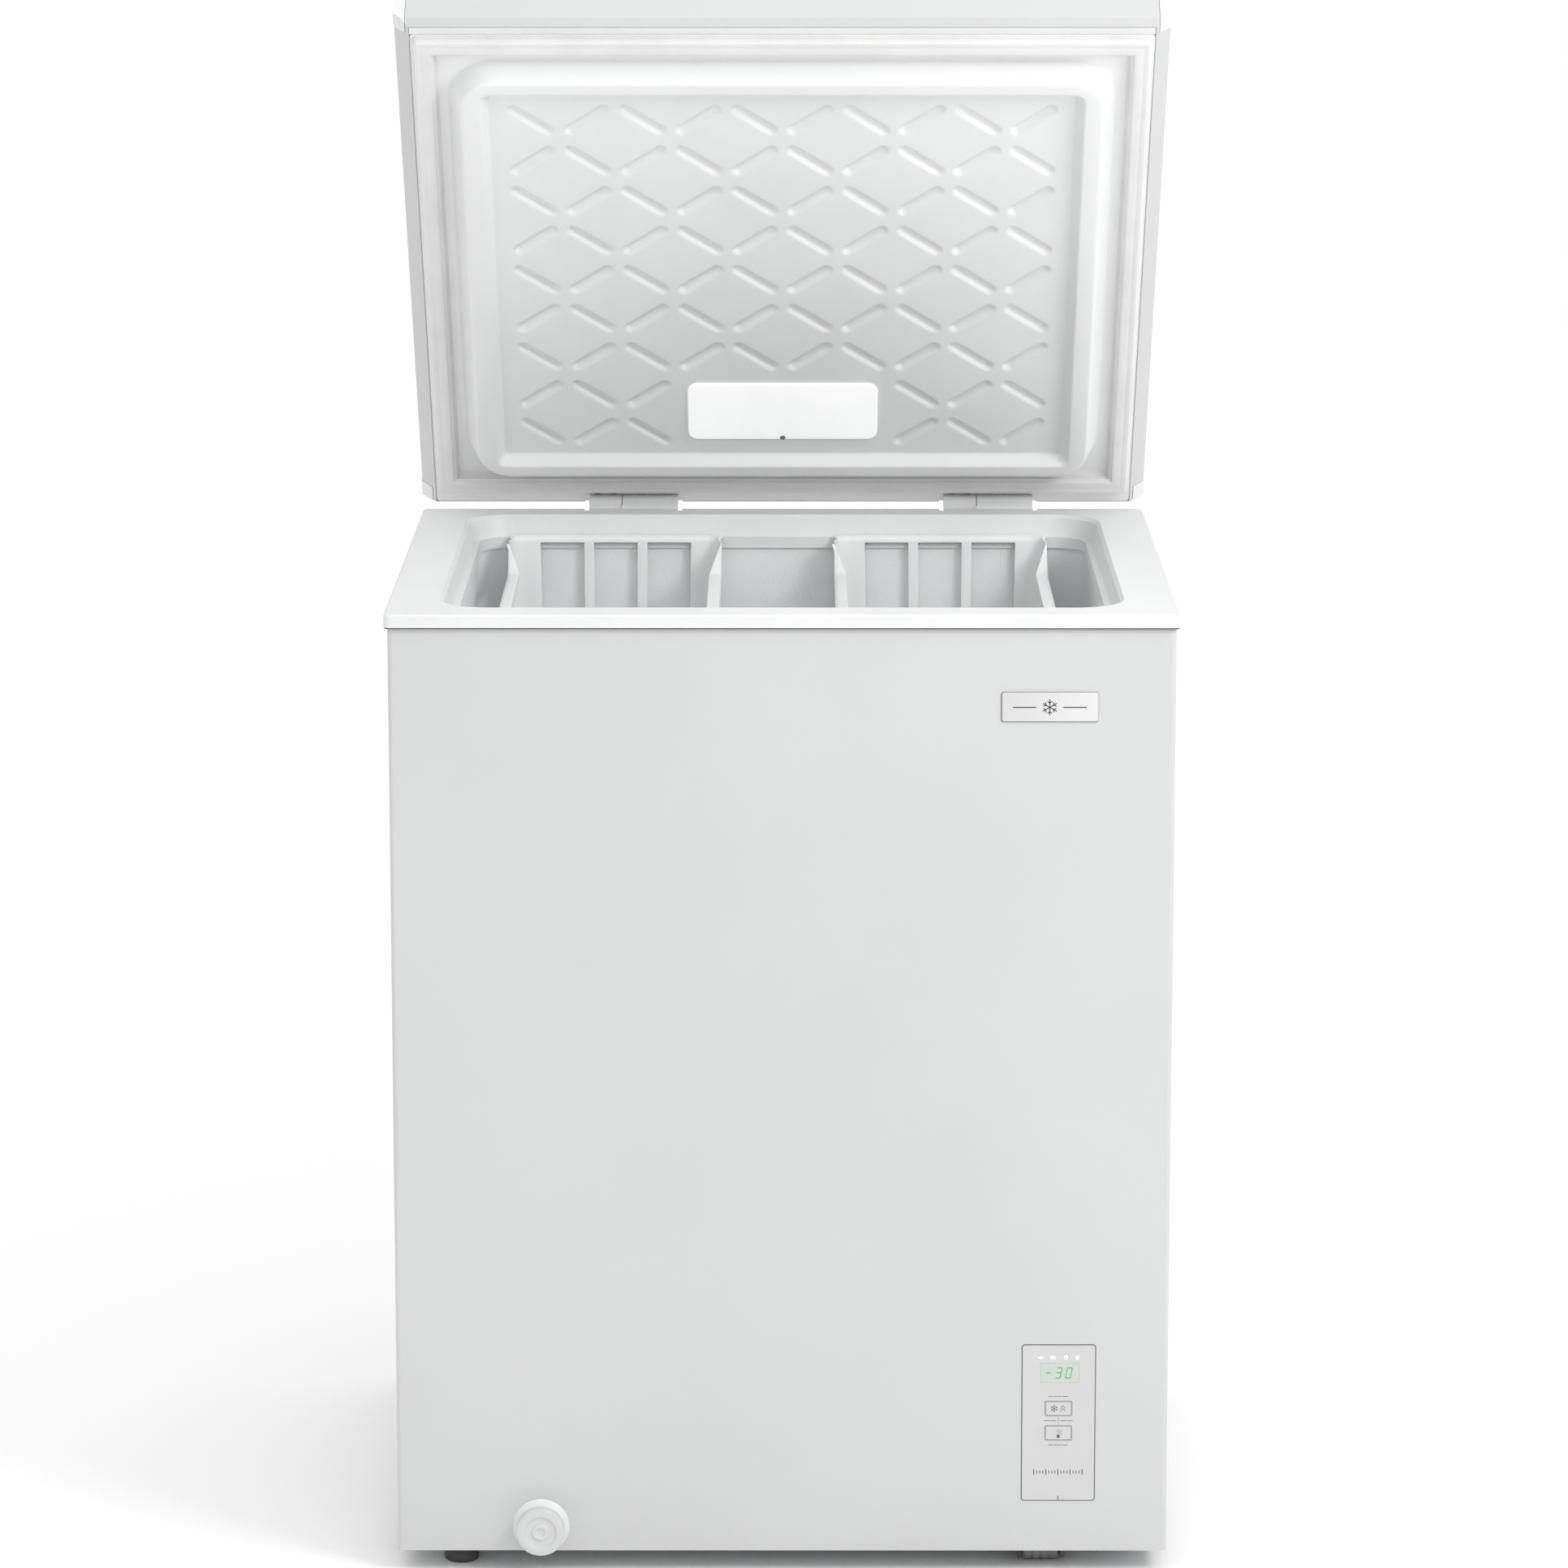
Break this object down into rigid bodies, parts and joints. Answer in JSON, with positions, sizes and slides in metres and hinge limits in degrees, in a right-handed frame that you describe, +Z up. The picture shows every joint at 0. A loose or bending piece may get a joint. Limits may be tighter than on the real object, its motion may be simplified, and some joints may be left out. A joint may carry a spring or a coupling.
{
  "type": "chest freezer",
  "caption": "White chest freezer on feet and rollers, lid hinged open, with hanging baskets, a front control panel and a drain.",
  "frame": {"origin": "on the floor, at the middle of the footprint with the lid open as it rests", "axes": "+Z up, the front of the cabinet faces -Y, +X to the right as seen from the front"},
  "size_m": [0.6342, 0.5952, 1.2658],
  "materials": {
    "white_steel": "satin",
    "white_plastic": "satin",
    "white_abs": "satin",
    "liner_sheet": "satin",
    "foam": "matte",
    "zinc_steel": "satin",
    "black_steel": "satin",
    "copper": "satin",
    "steel_tube": "satin",
    "dark_rubber": "matte",
    "dark_plastic": "matte",
    "grey_plastic": "matte",
    "panel_plastic": "satin",
    "key_plastic": "satin",
    "display_window": "gloss",
    "name_plate": "gloss",
    "seal_vinyl": "matte",
    "magnet": "matte",
    "lamp_diffuser": "satin",
    "circuit_board": "satin",
    "basket_plastic": "satin"
  },
  "bodies": {
    "cabinet": {"outer_shell": "white_steel", "back_panel": "white_steel", "base_pan": "zinc_steel", "compartment_panel": "zinc_steel", "cabinet_foam": "foam", "inner_liner": "liner_sheet", "rim_collar": "white_plastic", "evaporator_tube": "copper", "condenser_tube": "steel_tube", "compressor": "black_steel", "compressor_grommets": "dark_rubber", "compressor_bolts": "zinc_steel", "start_relay": "dark_plastic", "filter_dryer": "copper", "refrigerant_lines": "copper", "compressor_tray": "zinc_steel", "foot_sockets": "white_plastic", "roller_brackets": "black_steel", "roller_axles": "zinc_steel", "hinge_lower_leaves": "white_plastic", "hinge_pins": "zinc_steel", "hinge_back_screws": "zinc_steel", "control_bezel": "panel_plastic", "display_window": "display_window", "control_board": "circuit_board", "name_plate": "name_plate", "drain_boss": "white_plastic", "drain_pipe": "white_plastic", "vent_grille": "dark_plastic", "power_gland": "dark_plastic"},
    "lid": {"lid_skin": "white_steel", "lid_end_caps": "white_plastic", "lid_front_trim": "white_plastic", "lid_foam": "foam", "lid_liner": "white_abs", "lid_gasket": "seal_vinyl", "gasket_magnets": "magnet", "lamp_housing": "white_plastic", "lamp_board": "circuit_board", "tilt_switch": "zinc_steel", "lamp_cover": "lamp_diffuser", "hinge_upper_leaves": "white_plastic", "hinge_lid_screws": "zinc_steel"},
    "basket_left": {"basket_left": "basket_plastic"},
    "basket_right": {"basket_right": "basket_plastic"},
    "drain_cap": {"drain_cap": "white_plastic"},
    "drain_tube": {"drain_tube": "white_plastic"},
    "foot_front": {"foot_front": "dark_plastic"},
    "foot_rear": {"foot_rear": "dark_plastic"},
    "key_boost": {"key_boost": "key_plastic"},
    "key_temperature": {"key_temperature": "key_plastic"},
    "roller_front": {"roller_front": "grey_plastic"},
    "roller_rear": {"roller_rear": "grey_plastic"}
  },
  "joints": [
    {"name": "lid_hinge", "type": "hinge", "parent": "cabinet", "child": "lid", "pos_m": [0, 0.25388, 0.795], "axis": [-1, 0, 0], "range_deg": [-54.45, 25.55]},
    {"name": "basket_left_slide", "type": "slide", "parent": "cabinet", "child": "basket_left", "axis": [1, 0, 0], "range_m": [-0.014, 0.045]},
    {"name": "basket_right_slide", "type": "slide", "parent": "cabinet", "child": "basket_right", "axis": [1, 0, 0], "range_m": [-0.045, 0.022]},
    {"name": "boost_key_press", "type": "slide", "parent": "cabinet", "child": "key_boost", "axis": [0, 1, 0], "range_m": [0, 0.0008], "stiffness_N_per_m": 600},
    {"name": "temperature_key_press", "type": "slide", "parent": "cabinet", "child": "key_temperature", "axis": [0, 1, 0], "range_m": [0, 0.0008], "stiffness_N_per_m": 600},
    {"name": "drain_pull", "type": "slide", "parent": "cabinet", "child": "drain_tube", "axis": [0, -1, 0], "range_m": [0, 0.02]},
    {"name": "drain_turn", "type": "hinge", "parent": "drain_tube", "child": "drain_cap", "pos_m": [-0.1956, -0.29262, 0.0385], "axis": [0, -1, 0], "range_deg": [0, 180]},
    {"name": "roller_front_spin", "type": "hinge", "parent": "cabinet", "child": "roller_front", "pos_m": [0.211, -0.24662, 0.015], "axis": [1, 0, 0], "continuous": true},
    {"name": "roller_rear_spin", "type": "hinge", "parent": "cabinet", "child": "roller_rear", "pos_m": [0.211, 0.20688, 0.015], "axis": [1, 0, 0], "continuous": true},
    {"name": "foot_front_turn", "type": "hinge", "parent": "cabinet", "child": "foot_front", "pos_m": [-0.262, -0.24662, 0.02], "axis": [0, 0, 1], "range_deg": [-360, 360]},
    {"name": "foot_rear_turn", "type": "hinge", "parent": "cabinet", "child": "foot_rear", "pos_m": [-0.262, 0.20688, 0.02], "axis": [0, 0, 1], "range_deg": [-360, 360]}
  ]
}
